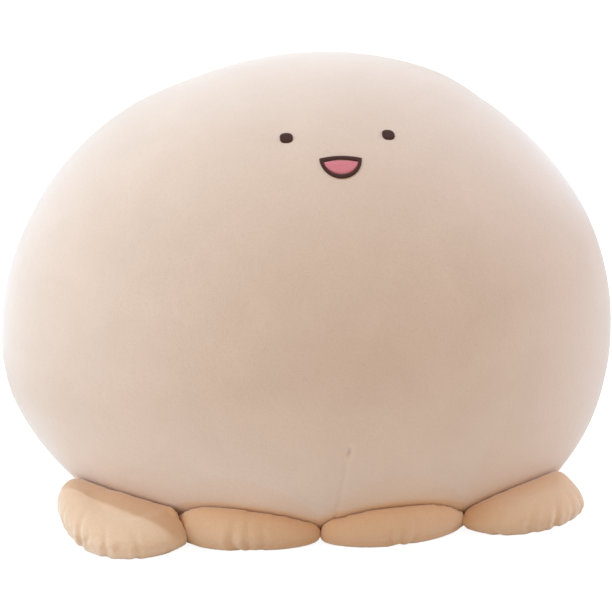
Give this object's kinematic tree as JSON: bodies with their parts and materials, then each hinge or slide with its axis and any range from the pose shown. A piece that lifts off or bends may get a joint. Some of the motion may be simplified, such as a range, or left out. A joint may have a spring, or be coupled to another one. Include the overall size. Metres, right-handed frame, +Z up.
{
  "type": "plush octopus pillow",
  "caption": "Round stuffed plush pillow with a small embroidered smiling face and short stuffed feet round its base.",
  "frame": {"origin": "on the floor, under the middle of the pillow's overall box", "axes": "+Z up, the face looks along -Y, +X to the right of someone who looks at the face"},
  "size_m": [0.5, 0.336, 0.36],
  "materials": {
    "body_fabric": "short velvety nap, beige",
    "foot_fabric": "short velvety nap, peach beige",
    "brown_thread": "satin stitched thread, dark brown",
    "pink_thread": "satin stitched thread, pink"
  },
  "bodies": {
    "root": {"body": "body_fabric", "base_panel": "body_fabric", "foot_front_outer_left": "foot_fabric", "foot_front_inner_left": "foot_fabric", "foot_front_inner_right": "foot_fabric", "foot_front_outer_right": "foot_fabric", "foot_back_outer_left": "foot_fabric", "foot_back_inner_left": "foot_fabric", "foot_back_inner_right": "foot_fabric", "foot_back_outer_right": "foot_fabric", "eye_left": "brown_thread", "eye_right": "brown_thread", "mouth_outline": "brown_thread", "mouth_fill": "pink_thread"}
  },
  "joints": []
}
